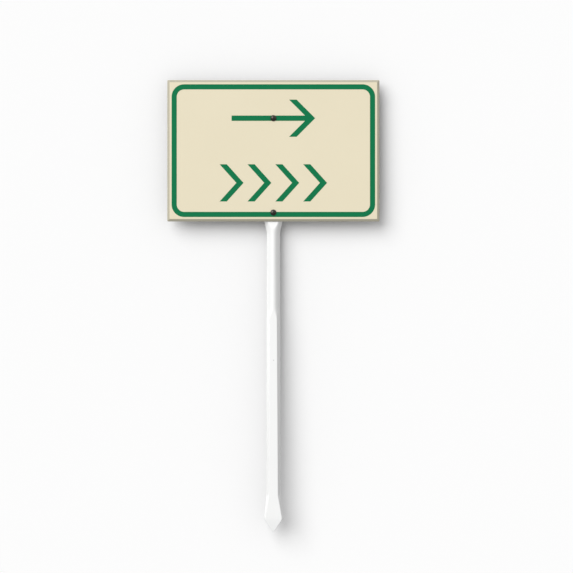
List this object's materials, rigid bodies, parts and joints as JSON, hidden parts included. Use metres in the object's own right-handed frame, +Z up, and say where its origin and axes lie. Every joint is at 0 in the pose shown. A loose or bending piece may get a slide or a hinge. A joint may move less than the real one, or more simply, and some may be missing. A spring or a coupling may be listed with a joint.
{
  "type": "yard sign",
  "caption": "Bevelled rectangular sign board with a green border, arrow and chevrons, screwed to a one-piece white plastic ground stake with a spade point.",
  "frame": {"origin": "the middle of the stake's tip", "axes": "+Z up along the stake to the top of the board, -Y out of the sign's face, +X to the right as the sign is read"},
  "size_m": [0.4572, 0.0245, 0.9738],
  "materials": {
    "moulded_plastic": "white moulded plastic, satin",
    "board": "cream board, satin",
    "print": "green sign print, satin",
    "black_steel": "black oxide",
    "zinc_steel": "bright zinc plate"
  },
  "bodies": {
    "root": {"stake": "moulded_plastic", "sign_panel": "board", "border_print": "print", "arrow_print": "print", "chevrons_print": "print", "upper_screw": "black_steel", "lower_screw": "black_steel", "upper_washer": "zinc_steel", "lower_washer": "zinc_steel", "upper_nut": "zinc_steel", "lower_nut": "zinc_steel"}
  },
  "joints": []
}
